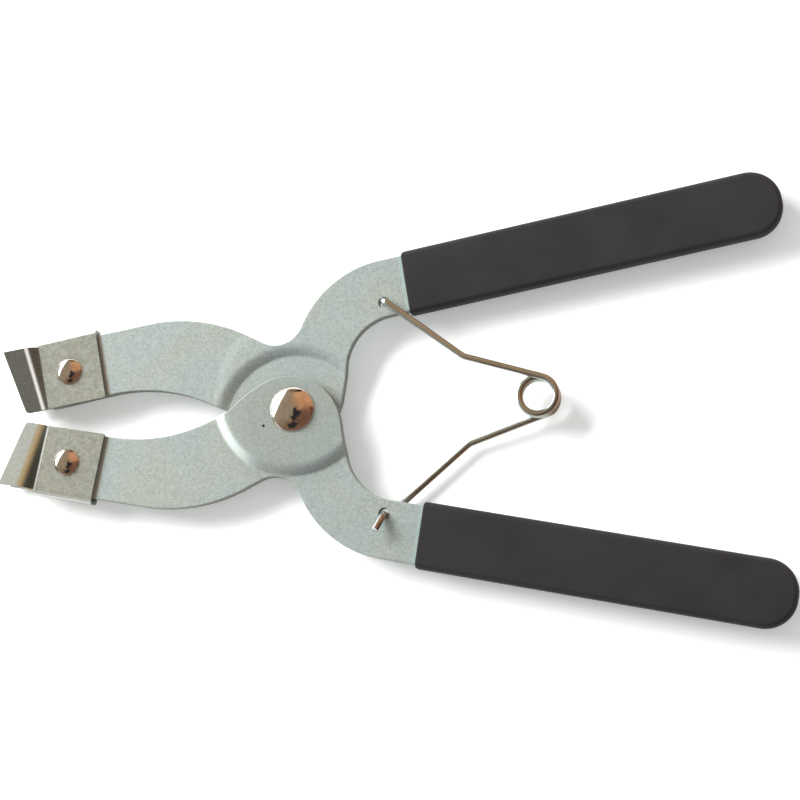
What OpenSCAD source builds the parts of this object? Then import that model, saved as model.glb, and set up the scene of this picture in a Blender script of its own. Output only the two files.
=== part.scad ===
// Piston ring expander pliers: two identical stamped levers on one rivet, a riveted ring clip
// on each jaw, a dipped sleeve on each handle, and a coiled spring that pushes the handles apart.
// The levers overlap at the rivet without crossing, so squeezing the handles opens the jaws.
// The tool lies flat: +X runs from the pivot to the handles, +Y to the upper lever and +Z to
// the domed side. The origin is on the pivot axis, at the flat rear face of the rivet.

/* [Levers] */
// Thickness of the lever plate
plate_t = 3; // [2.5:0.1:3.5]
// Radius of the flat raised disc around the pivot
disc_r = 19.5; // [19:0.1:20.5]
// Width of the ramp between the disc and the plate
ramp_w = 3; // [2:0.1:4]
// Play between the two discs
disc_play = 0.1; // [0.05:0.01:0.2]

/* [Pivot rivet] */
// Radius of the pivot rivet's shank
pivot_shank_r = 3.2; // [2.5:0.05:3.5]
// Radial clearance of the levers on the shank
pivot_clearance = 0.05; // [0.02:0.01:0.1]
// Radius of the pivot rivet's domed head
pivot_head_r = 6.2; // [5:0.1:7]
// Height of the pivot rivet's domed head
pivot_head_h = 2.9; // [2:0.1:4]
// Radius of the pivot rivet's flat rear head
pivot_rear_r = 5.2; // [4.5:0.1:6]
// Thickness of the pivot rivet's flat rear head
pivot_rear_t = 1.5; // [1:0.1:2]

/* [Ring clips] */
// Thickness of the clip sheet
sheet_t = 1; // [0.8:0.05:1.2]
// Play between the clip and the lever's faces
clip_play = 0.05; // [0.02:0.01:0.1]
// How far each lip flares outward at its wide side
lip_flare = 2; // [1:0.1:2.2]
// How far each lip flares outward at its narrow side
lip_flare_inner = 0.1; // [0:0.05:0.3]
// Radius of the clip rivets' shanks
clip_shank_r = 1.95; // [1.5:0.05:2.2]
// Radius of the clip rivets' domed heads
clip_head_r = 3.75; // [3:0.05:4.2]
// Height of the clip rivets' domed heads
clip_head_h = 1.9; // [1.2:0.1:2.4]
// Radius of the clip rivets' rear heads
clip_rear_r = 3.1; // [2.6:0.1:3.6]
// Thickness of the clip rivets' rear heads
clip_rear_t = 0.8; // [0.5:0.1:1.2]

/* [Handle sleeves] */
// Wall of the sleeve over the lever's faces
sleeve_wall = 1; // [0.8:0.1:1.4]
// How much further the upper sleeve reaches, and the lower one stops short
mouth_offset = 1.8; // [0:0.2:2.4]

/* [Spring] */
// Diameter of the spring wire
wire_d = 1.8; // [1.4:0.05:1.9]
// Radius of the coil at the middle of the wire
coil_r = 5; // [4.5:0.1:5.6]
// Coil centre, along the tool
coil_x = 66.7; // [65:0.1:68]
// Coil centre, across the tool
coil_y = 1.9; // [0:0.1:3]
// Diameter of the holes that the spring hooks through
hook_hole_d = 3; // [2.8:0.05:3.4]
// Radius of the spring's bends
bend_r = 1.9; // [1.6:0.05:2.1]
// Gap in the middle of the coil, between the wire's two halves
coil_cut = 0.3; // [0.1:0.05:0.5]

/* [Hidden] */

$fn = 72;
half_t = plate_t / 2;
// Height of the middle plane of the plates above the rear face of the pivot rivet
mid_z = pivot_rear_t + plate_t + disc_play;
pivot_bore_r = pivot_shank_r + pivot_clearance;
clip_bore_r = clip_shank_r + pivot_clearance;
clip_top = half_t + clip_play + sheet_t;

// Centre of the raised disc, on the side of the pivot away from the lever's own arm
disc_centre = [0, -4.3];
// Corners of the lever, in the frame of the upper lever: [x, y, radius of the corner]
lever_corners = [
    [-72.9, 20.2, 1], [-26.8, 28.2, 45.8], [-1.7, 15.3, 7.9], [8.9, 38, 29],
    [129.5, 60.3, 7.8], [132.4, 44.5, 7.8], [16.5, 23.3, 14.9], [9.9, -18.7, 14.8],
    [-12.8, -4.7, 18], [-17.9, -0.1, 4], [-37.8, 8.8, 47.2], [-70.2, 2.4, 1]
];
// Corners of the sleeve's outline, in the same frame
sleeve_corners = [
    [31.4, 43.2, 1.2], [130.4, 61.5, 8.5], [133.7, 43.7, 8.5], [34.2, 25.4, 1.5]
];

// Corners of the clip's plates: outer left, outer right, inner right, inner left
clip_corners = [[-74.1, 21.4, 0.6], [-57.2, 24.6, 0.6], [-53.5, 5.2, 0.4], [-70.2, 2.05, 0.4]];
clip_rivet_at = [-64.35, 12.8];
// Lines across the lips, each [inner end, outer end]: in the plate, root, end of the ramp, tip
lip_start = [[-69.6, 2.6], [-72.9, 19.8]];
lip_root = [[-70.1, 2.4], [-73.7, 20.1]];
lip_ramp = [[-71.1, 2.1], [-76, 20.2]];
lip_tip = [[-76.5, 1.15], [-83.3, 18.6]];

// Centre of the spring hole in the upper lever, and the place of the hook's wire in it
hook_hole_at = [25.2, 28.8];
hook_at = [25.2, 29.15];
// Bends in the two legs of the spring
front_bend = [47.1, 12.7];
rear_bend = [47.4, -10.1];
// Distance of the wire from the middle plane: at the coil's ends, and where a leg crosses a sleeve
coil_z = half_t + 0.1 + wire_d / 2;
leg_z = half_t + sleeve_wall + 0.2 + wire_d / 2;
// Loose end of each hook: length along the plate, turn and rise
hook_end = 4.7;
hook_turn = 247;
hook_rise = 30;
// Whole turns of wire in the coil, besides the arc between the legs
coil_turns = 2;
wire_sides = 12;
coil_step = 15;

function unit(v) = v / norm(v);

// Arc of one rounded corner between its two neighbours, in two or three dimensions
function corner_arc(before, at, after, r, step) =
    let (
        u = unit(before - at),
        v = unit(after - at),
        half = acos(u * v) / 2,
        centre = at + unit(u + v) * r / sin(half),
        from = at + u * r / tan(half) - centre,
        to = at + v * r / tan(half) - centre,
        side = unit(to - from * (from * to) / (r * r)) * r,
        sweep = 180 - 2 * half,
        n = max(1, ceil(sweep / step))
    )
    [for (i = [0:n]) centre + from * cos(sweep * i / n) + side * sin(sweep * i / n)];

function flat(p) = [p[0], p[1]];

// Closed outline through a list of [x, y, radius] corners
function rounded_outline(corners, step = 4) =
    let (n = len(corners))
    [for (i = [0:n - 1])
        each corner_arc(flat(corners[(i + n - 1) % n]), flat(corners[i]),
                        flat(corners[(i + 1) % n]), corners[i][2], step)];

// Open wire path through points, with every inner point rounded to the same radius
function wire_path(points, r) =
    [points[0],
     for (i = [1:len(points) - 2]) each corner_arc(points[i - 1], points[i], points[i + 1], r, 18),
     points[len(points) - 1]];

function tangent(path, i) =
    unit(path[min(i + 1, len(path) - 1)] - path[max(i - 1, 0)]);

// One direction across the wire at each point, carried along without twist
function across(path, start) =
    [for (i = 0, a = unit(cross(tangent(path, 0), start)); i < len(path);
          i = i + 1, a = unit(a - (a * tangent(path, i)) * tangent(path, i))) a];

// Places a piece drawn in the upper lever's frame on the upper lever
module on_upper() {
    translate([0, 0, mid_z]) children();
}

// The lower lever is the same pressing, turned over about the tool's long axis
module on_lower() {
    translate([0, 0, mid_z]) rotate([180, 0, 0]) children();
}

// Stamped lever with its disc pressed toward the other lever's far side
module lever() {
    low = -plate_t - disc_play / 2;
    difference() {
        intersection() {
            translate([0, 0, -2 * plate_t])
                linear_extrude(4 * plate_t) polygon(rounded_outline(lever_corners));
            translate([disc_centre[0], disc_centre[1], 0]) rotate_extrude()
                polygon([[0, low], [disc_r, low], [disc_r + ramp_w, -half_t], [200, -half_t],
                         [200, half_t], [disc_r + ramp_w, half_t],
                         [disc_r, low + plate_t], [0, low + plate_t]]);
        }
        translate([0, 0, -3 * plate_t]) cylinder(r = pivot_bore_r, h = 6 * plate_t);
        translate([hook_hole_at[0], hook_hole_at[1], -plate_t])
            cylinder(d = hook_hole_d, h = 2 * plate_t);
        translate([clip_rivet_at[0], clip_rivet_at[1], -plate_t])
            cylinder(r = clip_bore_r, h = 2 * plate_t);
    }
}

// Thin solid under a grid of surface points, one sheet thickness deep
module pressed_sheet(lines) {
    rows = len(lines);
    top = [for (line = lines) each line];
    points = concat(top, [for (p = top) p - [0, 0, sheet_t]]);
    under = len(top);
    cells = [for (i = [0:rows - 2]) 2 * i];
    faces = concat(
        [for (c = cells) each [[c, c + 2, c + 3], [c, c + 3, c + 1]]],
        [for (c = cells) each [[under + c, under + c + 3, under + c + 2],
                               [under + c, under + c + 1, under + c + 3]]],
        [for (c = cells) each [[c, under + c, under + c + 2], [c, under + c + 2, c + 2]]],
        [for (c = cells) each [[c + 1, c + 3, under + c + 3], [c + 1, under + c + 3, under + c + 1]]],
        [[0, 1, under + 1], [0, under + 1, under],
         [under - 2, 2 * under - 2, 2 * under - 1], [under - 2, 2 * under - 1, under - 1]]);
    polyhedron(points, faces);
}

function lifted(line, inner, outer) =
    [[line[0][0], line[0][1], clip_top + inner], [line[1][0], line[1][1], clip_top + outer]];

// Ramp and lip on the domed side of a clip
module lip() {
    pressed_sheet([lifted(lip_start, 0, 0), lifted(lip_root, 0, 0),
                   lifted(lip_ramp, lip_flare_inner, lip_flare),
                   lifted(lip_tip, lip_flare_inner, lip_flare)]);
}

// Sheet folded over the lever's outer edge, with a flared lip on each side
module clip() {
    outer_edge = clip_corners[1] - clip_corners[0];
    difference() {
        translate([0, 0, -clip_top])
            linear_extrude(2 * clip_top) polygon(rounded_outline(clip_corners, 15));
        // Room for the lever, open toward the jaws' inner side and both ends
        translate([clip_corners[0][0], clip_corners[0][1], -half_t - clip_play])
            rotate(atan2(outer_edge[1], outer_edge[0]))
            translate([-20, -40 - sheet_t, 0]) cube([60, 40, plate_t + 2 * clip_play]);
        translate([clip_rivet_at[0], clip_rivet_at[1], -2 * plate_t])
            cylinder(r = clip_bore_r, h = 4 * plate_t);
    }
    lip();
    mirror([0, 0, 1]) lip();
}

// Domed head with its flat side on z = 0
module dome(r, h) {
    sphere_r = (r * r + h * h) / (2 * h);
    intersection() {
        translate([0, 0, h - sphere_r]) sphere(r = sphere_r);
        cylinder(r = r, h = h);
    }
}

// Rivet through both plates of a clip, with its dome toward +Z
module clip_rivet() {
    translate([clip_rivet_at[0], clip_rivet_at[1], 0]) {
        translate([0, 0, clip_top]) dome(clip_head_r, clip_head_h);
        translate([0, 0, -clip_top]) cylinder(r = clip_shank_r, h = 2 * clip_top);
        translate([0, 0, -clip_top - clip_rear_t]) cylinder(r = clip_rear_r, h = clip_rear_t);
    }
}

// Corners of the sleeve's outline with its mouth moved along the handle
function dipped_corners(shift) = let (along = [0.983, 0.182] * shift)
    [for (i = [0:3]) let (c = sleeve_corners[i])
        i == 0 || i == 3 ? [c[0] + along[0], c[1] + along[1], c[2]] : c];

// Dipped sleeve, closed round the lever's handle
module grip(shift) {
    height = plate_t + 2 * sleeve_wall;
    difference() {
        translate([0, 0, -height / 2])
            linear_extrude(height) polygon(rounded_outline(dipped_corners(shift), 6));
        translate([0, 0, -half_t])
            linear_extrude(plate_t) polygon(rounded_outline(lever_corners));
    }
}

// Round wire along a path
module wire(path) {
    n = len(path);
    sides = across(path, [1, 0.3, 0.2]);
    points = [for (i = [0:n - 1]) let (t = tangent(path, i), a = sides[i], b = cross(t, a))
        for (k = [0:wire_sides - 1]) let (turn = 360 * k / wire_sides)
            path[i] + wire_d / 2 * (a * cos(turn) + b * sin(turn))];
    wall = [for (i = [0:n - 2]) for (k = [0:wire_sides - 1])
        let (a = i * wire_sides + k, b = i * wire_sides + (k + 1) % wire_sides)
            each [[a, a + wire_sides, b + wire_sides], [a, b + wire_sides, b]]];
    first = [for (k = [0:wire_sides - 1]) k];
    last = [for (k = [wire_sides - 1:-1:0]) (n - 1) * wire_sides + k];
    polyhedron(points, concat([first, last], wall));
}

// Where a leg that starts at a bend meets the coil, as an angle round the coil
function coil_angle(bend, side) =
    let (way = [coil_x, coil_y] - bend)
    atan2(way[1], way[0]) + side * (90 + asin(coil_r / norm(way)));

front_angle = coil_angle(front_bend, 1);
rear_angle = coil_angle(rear_bend, -1);
coil_sweep = 360 * coil_turns + front_angle - rear_angle;

// Middle of the wire in the coil, a given share of the way from the front leg to the rear leg
function coil_point(share) =
    let (angle = front_angle - coil_sweep * share)
    [coil_x + coil_r * cos(angle), coil_y + coil_r * sin(angle), coil_z * (1 - 2 * share)];

// Hook, leg and half of the coil, on one side of the tool: 1 for the front, -1 for the rear
module spring_half(side, bend) {
    hook = [hook_at[0], side * hook_at[1]];
    turn = -side * hook_turn;
    loose = [hook_end * cos(turn), hook_end * sin(turn), -side * hook_end * tan(hook_rise)];
    end = side > 0 ? coil_point(0) : coil_point(1);
    steps = ceil(coil_sweep / 2 / coil_step);
    half_share = 0.5 - coil_cut * 90 / (PI * coil_r * coil_sweep);
    legs = wire_path([
        [hook[0], hook[1], -side * coil_z] + loose, [hook[0], hook[1], -side * coil_z],
        [hook[0], hook[1], side * leg_z], [bend[0], bend[1], side * leg_z], end], bend_r);
    coil = [for (i = [1:steps]) let (share = half_share * i / steps)
        coil_point(side > 0 ? share : 1 - share)];
    color("silver") translate([0, 0, mid_z]) wire(concat(legs, coil));
}

module lower_lever() {
    color("lightgray") on_lower() lever();
}

module upper_lever() {
    color("lightgray") on_upper() lever();
}

module pivot_rivet() {
    stack = plate_t + disc_play;
    color("gainsboro") translate([0, 0, mid_z]) {
        translate([0, 0, stack]) dome(pivot_head_r, pivot_head_h);
        translate([0, 0, -stack]) cylinder(r = pivot_shank_r, h = 2 * stack);
        translate([0, 0, -mid_z]) cylinder(r = pivot_rear_r, h = pivot_rear_t);
    }
}

module lower_clip() {
    color("gainsboro") on_lower() clip();
}

module upper_clip() {
    color("gainsboro") on_upper() clip();
}

// The dome stays on the front, so the rivet is turned over in place
module lower_clip_rivet() {
    color("silver") translate([0, 0, mid_z]) mirror([0, 1, 0]) clip_rivet();
}

module upper_clip_rivet() {
    color("silver") on_upper() clip_rivet();
}

module lower_grip() {
    color("dimgray") on_lower() grip(mouth_offset);
}

module upper_grip() {
    color("dimgray") on_upper() grip(-mouth_offset);
}

module spring_front_half() {
    spring_half(1, front_bend);
}

module spring_rear_half() {
    spring_half(-1, rear_bend);
}

lower_lever();
upper_lever();
pivot_rivet();
lower_clip();
upper_clip();
lower_clip_rivet();
upper_clip_rivet();
lower_grip();
upper_grip();
spring_front_half();
spring_rear_half();
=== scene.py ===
# %% [markdown]
# # Piston ring expander pliers
# Two equal stamped levers lie on one rivet. Squeezing the handles opens the jaws, and a coiled
# spring closes them again. The CAD model gives every place and size. This lesson rebuilds each
# piece with finer edges, bends and finishes, and lets each piece but the spring ride on the CAD
# body that it belongs to.

# %% Load the frame
from math import asin, atan2, ceil, cos, degrees, pi, radians, sin, sqrt, tan

import bmesh
import bpy
import numpy as np
from mathutils import Matrix, Vector
from mathutils.geometry import delaunay_2d_cdt


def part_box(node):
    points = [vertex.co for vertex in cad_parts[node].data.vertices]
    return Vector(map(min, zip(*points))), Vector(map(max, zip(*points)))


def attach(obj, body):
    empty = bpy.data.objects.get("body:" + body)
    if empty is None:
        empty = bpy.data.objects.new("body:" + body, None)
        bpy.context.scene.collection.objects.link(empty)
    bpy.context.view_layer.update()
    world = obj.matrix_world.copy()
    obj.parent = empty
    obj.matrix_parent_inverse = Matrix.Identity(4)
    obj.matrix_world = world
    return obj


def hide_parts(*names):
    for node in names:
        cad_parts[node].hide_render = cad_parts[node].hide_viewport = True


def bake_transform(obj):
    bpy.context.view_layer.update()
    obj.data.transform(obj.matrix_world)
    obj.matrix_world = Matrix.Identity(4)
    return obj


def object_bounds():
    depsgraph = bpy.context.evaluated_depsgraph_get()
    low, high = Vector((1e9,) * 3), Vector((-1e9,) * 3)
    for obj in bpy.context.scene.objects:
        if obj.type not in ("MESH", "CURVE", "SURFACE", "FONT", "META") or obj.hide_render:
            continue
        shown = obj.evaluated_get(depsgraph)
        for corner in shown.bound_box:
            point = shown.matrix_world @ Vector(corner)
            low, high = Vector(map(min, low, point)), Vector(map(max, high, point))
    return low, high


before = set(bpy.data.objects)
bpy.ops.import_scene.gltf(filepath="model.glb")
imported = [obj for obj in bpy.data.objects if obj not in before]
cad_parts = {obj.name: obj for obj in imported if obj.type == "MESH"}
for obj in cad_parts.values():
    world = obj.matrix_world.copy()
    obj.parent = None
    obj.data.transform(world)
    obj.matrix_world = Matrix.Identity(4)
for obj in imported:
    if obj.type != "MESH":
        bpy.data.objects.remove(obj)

cad_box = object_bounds()
scene = bpy.context.scene
MM = 0.001
print("CAD box", [[round(value / MM, 2) for value in corner] for corner in cad_box])

# %% [markdown]
# The lower lever is the upper lever turned over about the tool's long axis. So everything that
# comes in a pair is drawn once, in millimetres from the middle plane, and placed twice. The clips
# are the same above and below the middle plane, so their box says how high that plane lies.

# %% Middle plane and the two sides of the tool
clip_low, clip_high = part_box("upper_clip")
MID_Z = (clip_low.z + clip_high.z) / 2
UPPER = 1
LOWER = -1
SIDES = {"upper": UPPER, "lower": LOWER}


def in_place(point, side):
    """A point drawn in millimetres for the upper lever, in metres on either lever."""
    return Vector((point[0] * MM, side * point[1] * MM, MID_Z + side * point[2] * MM))


def new_piece(name, verts, faces, side):
    """A smooth mesh object on one side of the tool, with all its faces turned outward."""
    mesh = bpy.data.meshes.new(name)
    mesh.from_pydata([tuple(in_place(v, side)) for v in verts], [], faces)
    solid = bmesh.new()
    solid.from_mesh(mesh)
    bmesh.ops.recalc_face_normals(solid, faces=solid.faces)
    solid.to_mesh(mesh)
    solid.free()
    mesh.shade_smooth()
    piece = bpy.data.objects.new(name, mesh)
    scene.collection.objects.link(piece)
    print(name, len(verts), "points")
    return piece


print("middle plane at", round(MID_Z / MM, 3), "mm")

# %% [markdown]
# A stamped plate has straight or curved sides with rounded corners, and the punch leaves a small
# round on its edges. One outline drawn at growing insets gives that round: each ring lies a
# little further in and a little higher than the one before, as the lines of a lathe profile do.

# %% Rounded outlines at any inset


def corner_arc(before, at, after, radius, count):
    """Points on the arc that rounds one corner."""
    u = (before - at).normalized()
    v = (after - at).normalized()
    half = u.angle(v) / 2
    centre = at + (u + v).normalized() * (radius / sin(half))
    start = at + u * (radius / tan(half)) - centre
    end = at + v * (radius / tan(half)) - centre
    across = (end - start * (start.dot(end) / radius**2)).normalized() * radius
    sweep = pi - 2 * half
    steps = [sweep * i / count for i in range(count + 1)]
    return [centre + start * cos(angle) + across * sin(angle) for angle in steps]


def outline(corners, inset=0.0, shares=None, step=3.0):
    """Closed outline through [x, y, radius] corners, with each side moved inward by its share."""
    points = [Vector(corner[:2]) for corner in corners]
    count = len(points)
    shares = shares or [1.0] * count
    area = sum(points[i - 1].cross(points[i]) for i in range(count))
    turn = 1 if area > 0 else -1
    sides = []
    for i in range(count):
        along = (points[(i + 1) % count] - points[i]).normalized()
        inward = Vector((-along.y, along.x)) * turn
        moved = points[i] + inward * inset * shares[i]
        sides.append((moved, along))
    moved_corners = []
    for i in range(count):
        (a, along_a), (b, along_b) = sides[i - 1], sides[i]
        reach = (b - a).cross(along_b) / along_a.cross(along_b)
        moved_corners.append(a + along_a * reach)
    ring = []
    for i in range(count):
        before, at, after = points[i - 1], points[i], points[(i + 1) % count]
        convex = (at - before).cross(after - at) * turn > 0
        sweep = degrees((at - before).angle(after - at))
        share = (shares[i - 1] + shares[i]) / 2
        radius = corners[i][2] - inset * share if convex else corners[i][2] + inset * share
        ring += corner_arc(moved_corners[i - 1], moved_corners[i],
                           moved_corners[(i + 1) % count], max(radius, 0.25),
                           max(3, ceil(sweep / step)))
    return ring


def rings_of(corners, insets, shares=None, spacing=1.0):
    """The outline at every inset, with the same number of evenly spaced points in each."""
    rings = [outline(corners, inset, shares) for inset in insets]
    first = rings[0]
    parts = [max(1, round((first[(i + 1) % len(first)] - p).length / spacing))
             for i, p in enumerate(first)]
    finer = []
    for ring in rings:
        finer.append([p.lerp(ring[(i + 1) % len(ring)], k / parts[i])
                      for i, p in enumerate(ring) for k in range(parts[i])])
    return finer


def hole_rings(centre, radius, insets, count=64):
    """A round hole at every inset."""
    spokes = [Vector((cos(2 * pi * k / count), sin(2 * pi * k / count))) for k in range(count)]
    return [[Vector(centre) + spoke * (radius + inset) for spoke in spokes] for inset in insets]


def rim_profile(width, height, count=5, flat=0.3):
    """[(inset, drop)] of a rounded edge from the side wall to the flat face."""
    angles = [pi / 2 * k / count for k in range(count + 1)]
    rim = [(width * (1 - cos(angle)), height * (1 - sin(angle))) for angle in angles]
    return rim + [(width + flat, 0.0)]


def inside(points, loops):
    """Which points lie inside the first loop and outside the others."""
    points = np.array(points)
    result = np.zeros(len(points), bool)
    for loop in loops:
        a = np.array(loop)
        b = np.roll(a, -1, axis=0)
        above = (a[None, :, 1] > points[:, None, 1]) != (b[None, :, 1] > points[:, None, 1])
        rise = b[None, :, 1] - a[None, :, 1]
        rise[rise == 0] = 1e-12
        cut = a[None, :, 0] + (points[:, None, 1] - a[None, :, 1]) * (b - a)[None, :, 0] / rise
        result ^= (above & (points[:, None, 0] < cut)).sum(1) % 2 == 1
    return result


CLEAR_OF_BORDER = 0.45


def gap_to(points, others):
    """Distance from each point to the nearest of the others."""
    others = np.array([tuple(p) for p in others])
    return np.array([np.hypot(*(others - point).T).min() for point in np.array(points)])


def plate(name, loops, rim, top, bottom, spread, side):
    """A plate between two height functions, with rounded edges and extra points to curve with."""
    verts, faces, upper, lower = [], [], [], []
    for rings in loops:
        size = len(rings[0])
        levels = []
        for ring, (_, drop) in reversed(list(zip(rings, rim))):
            levels.append(len(verts))
            verts += [(p.x, p.y, top(p) - drop) for p in ring]
        for ring, (_, drop) in zip(rings, rim):
            levels.append(len(verts))
            verts += [(p.x, p.y, bottom(p) + drop) for p in ring]
        for a, b in zip(levels, levels[1:]):
            faces += [(a + i, b + i, b + (i + 1) % size, a + (i + 1) % size)
                      for i in range(size)]
        upper += range(levels[0], levels[0] + size)
        lower += range(levels[-1], levels[-1] + size)
    borders = [rings[-1] for rings in loops]
    flat = [p for border in borders for p in border]
    edges, start = [], 0
    for border in borders:
        edges += [(start + i, start + (i + 1) % len(border)) for i in range(len(border))]
        start += len(border)
    kept = inside(spread, borders) & (gap_to(spread, flat) > CLEAR_OF_BORDER)
    spread = [p for p, keep in zip(spread, kept) if keep]
    points = flat + [Vector(p) for p in spread]
    upper += range(len(verts), len(verts) + len(spread))
    verts += [(p[0], p[1], top(Vector(p))) for p in spread]
    lower += range(len(verts), len(verts) + len(spread))
    verts += [(p[0], p[1], bottom(Vector(p))) for p in spread]
    found, _, triangles, origins, _, _ = delaunay_2d_cdt(points, edges, [], 0, 1e-5)
    middles = [sum((found[i] for i in tri), Vector((0, 0))) / 3 for tri in triangles]
    for tri, keep in zip(triangles, inside(middles, borders)):
        if keep:
            ids = [origins[i][0] for i in tri]
            faces.append([upper[i] for i in ids])
            faces.append([lower[i] for i in reversed(ids)])
    piece = new_piece(name, verts, faces, side)
    even = piece.modifiers.new("even shading", "WEIGHTED_NORMAL")
    even.mode = "FACE_AREA"
    return piece


# %% [markdown]
# Each lever is cut from 3 mm plate. Around the rivet it has a flat disc that the press pushes
# half a plate out of line, so that the two levers nest and both lie in one plane. The sheet bends
# tightly on the hollow side of the ramp and softly on the bulging side, so the top and the bottom
# follow different curves. Extra points in circles round the disc let the ramp curve, and normals
# weighted by face area keep the flat plate beside it evenly shaded.

# %% The two levers
PLATE_T = 3.0
DISC_PLAY = 0.1
DISC_CENTRE = Vector((0.0, -4.3))
DISC_R = 19.5
RAMP = 3.6
BULGE_START = 18.9
PIVOT_BORE_R = 3.25
STAMPED_ROUND = 0.28
HOOK_HOLE = (25.2, 28.8)
HOOK_HOLE_R = 1.5
CLIP_RIVET = (-64.35, 12.8)
CLIP_BORE_R = 2.0
LEVER_CORNERS = [
    (-72.9, 20.2, 1), (-26.8, 28.2, 45.8), (-1.7, 15.3, 7.9), (8.9, 38, 29),
    (129.5, 60.3, 7.8), (132.4, 44.5, 7.8), (16.5, 23.3, 14.9), (9.9, -18.7, 14.8),
    (-12.8, -4.7, 18), (-17.9, -0.1, 4), (-37.8, 8.8, 47.2), (-70.2, 2.4, 1),
]
disc_low = -PLATE_T - DISC_PLAY / 2
disc_step = PLATE_T / 2 + DISC_PLAY / 2


def ramp_share(point, start):
    """0 on the disc, 1 on the flat arm."""
    reach = (Vector(point[:2]) - DISC_CENTRE).length - start
    return min(max(reach / RAMP, 0.0), 1.0)


def lever_top(point):
    """Height of the lever's hollow side: the step is tight at the disc."""
    return disc_low + PLATE_T + disc_step * sin(ramp_share(point, DISC_R) * pi / 2)


def lever_bottom(point):
    """Height of the lever's bulging side: the step starts softly."""
    return disc_low + disc_step * (1 - cos(ramp_share(point, BULGE_START) * pi / 2))


ramp_radii = [BULGE_START - 0.6 + 0.3 * k for k in range(18)]
ramp_points = [(DISC_CENTRE.x + radius * cos(radians(angle)),
                DISC_CENTRE.y + radius * sin(radians(angle)))
               for radius in ramp_radii for angle in range(0, 360, 2)]
stamped_edge = rim_profile(STAMPED_ROUND, STAMPED_ROUND)
edge_insets = [inset for inset, _ in stamped_edge]
lever_loops = [
    rings_of(LEVER_CORNERS, edge_insets),
    hole_rings((0, 0), PIVOT_BORE_R, edge_insets),
    hole_rings(HOOK_HOLE, HOOK_HOLE_R, edge_insets),
    hole_rings(CLIP_RIVET, CLIP_BORE_R, edge_insets),
]
levers = {}
for word, side in SIDES.items():
    lever = plate(f"{word}_lever_pressing", lever_loops, stamped_edge,
                  lever_top, lever_bottom, ramp_points, side)
    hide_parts(f"{word}_lever")
    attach(lever, f"{word}_arm")
    levers[side] = lever

# %% [markdown]
# Each handle is dipped in liquid vinyl, which cures to a soft sleeve. It rounds off the plate's
# edges and its tip, and ends in a crisper edge at its mouth. The same outline method works with a
# wide, low rim, and a small share for the mouth's side keeps that end nearly square. A slight
# crown along the middle is what surface tension leaves on a dipped bar. The upper handle was
# dipped a little deeper than the lower one, so the two mouths are moved opposite ways.

# %% The two dipped sleeves
SLEEVE_CORNERS = [(31.4, 43.2, 1.2), (130.4, 61.5, 8.5), (133.7, 43.7, 8.5), (34.2, 25.4, 0.9)]
SLEEVE_HALF = 2.5
CROWN = 0.18
sleeve_edge = rim_profile(1.6, 1.7, count=9, flat=2.2)
mouth_share = 0.22
MOUTH_OFFSET = 1.8
HALF_WIDTH = 9
SLEEVE_MIDDLE_X = 82
sleeve_shares = [1.0, 1.0, 1.0, mouth_share]
sleeve_line = (Vector((34.2, 25.4)) + Vector((31.4, 43.2))) / 2
sleeve_along = (Vector((130.4, 61.5)) - Vector((31.4, 43.2))).normalized()


def sleeve_top(point):
    """Height of the sleeve's crown, highest along its middle."""
    away = (Vector(point[:2]) - sleeve_line).cross(sleeve_along)
    return SLEEVE_HALF - CROWN * (away / HALF_WIDTH) ** 2


sleeve_across = Vector((-sleeve_along.y, sleeve_along.x))
sleeve_points = [tuple(sleeve_line + sleeve_along * (1.5 + 2.5 * i) + sleeve_across * (1.5 * j))
                 for i in range(42) for j in range(-5, 6)]
sleeves = {}
for word, side in SIDES.items():
    shift = -side * MOUTH_OFFSET * sleeve_along
    corners = [(x + shift.x, y + shift.y, r) if x < SLEEVE_MIDDLE_X else (x, y, r)
               for x, y, r in SLEEVE_CORNERS]
    sleeve_loops = [rings_of(corners, [inset for inset, _ in sleeve_edge], sleeve_shares)]
    sleeve = plate(f"{word}_dipped_sleeve", sleeve_loops, sleeve_edge,
                   sleeve_top, lambda p: -sleeve_top(p), sleeve_points, side)
    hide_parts(f"{word}_grip")
    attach(sleeve, f"{word}_arm")
    sleeves[side] = sleeve

# %% [markdown]
# A ring clip is one piece of 1 mm sheet, folded over the lever's outer edge like a book cover.
# Past the lever's end, a front and a rear lip carry on from its two covers and flare apart. The
# middle of the sheet is drawn as a grid that goes round the fold, and a Solidify modifier gives
# it its thickness, so bends and fold keep an even sheet. A fine bevel breaks the sheared edges.
# The free edge of the rear cover stops a little short of the front one, so only the front shows.

# %% The two ring clips
SHEET_T = 1.0
SHEET_MID = PLATE_T / 2 + 0.05 + SHEET_T / 2
FOLD_R = 0.9
REAR_SHORT = 1.1
CLIP_RIGHT = [Vector((-53.5, 5.2)), Vector((-57.2, 24.6))]
CLIP_LEFT = [Vector((-70.1, 2.4)), Vector((-74.1, 21.4))]
LIP_TIP = [Vector((-76.5, 1.15)), Vector((-83.3, 18.6))]
RAMP_LENGTH = [1.3, 2.9]
FLARE = [0.1, 2.0]
COVER_CORNER_R = 0.5
COVER_CORNER_SHARE = 1 / 12
FREE_LIP_CORNER_R = 1.0
FOLD_LIP_CORNER_R = 0.3
OPEN_END = 1e3


def eased(share):
    """Smooth step from 0 to 1."""
    share = min(max(share, 0.0), 1.0)
    return share * share * (3 - 2 * share)


def near_ends(length, corner, count):
    """Places along a length, closer together near its two ends."""
    ends = [corner * (1 - cos(pi / 2 * k / 4)) for k in range(5)]
    middle = [corner + (length - 2 * corner) * k / count for k in range(1, count)]
    return ends + middle + [length - place for place in reversed(ends)]


def corner_cut(place, length, radius):
    """How far a rounded free corner lies behind its edge."""
    near = max(min(place, length - place), 0.0)
    if near >= radius:
        return 0.0
    return radius - sqrt(max(radius**2 - (radius - near) ** 2, 0.0))


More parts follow.
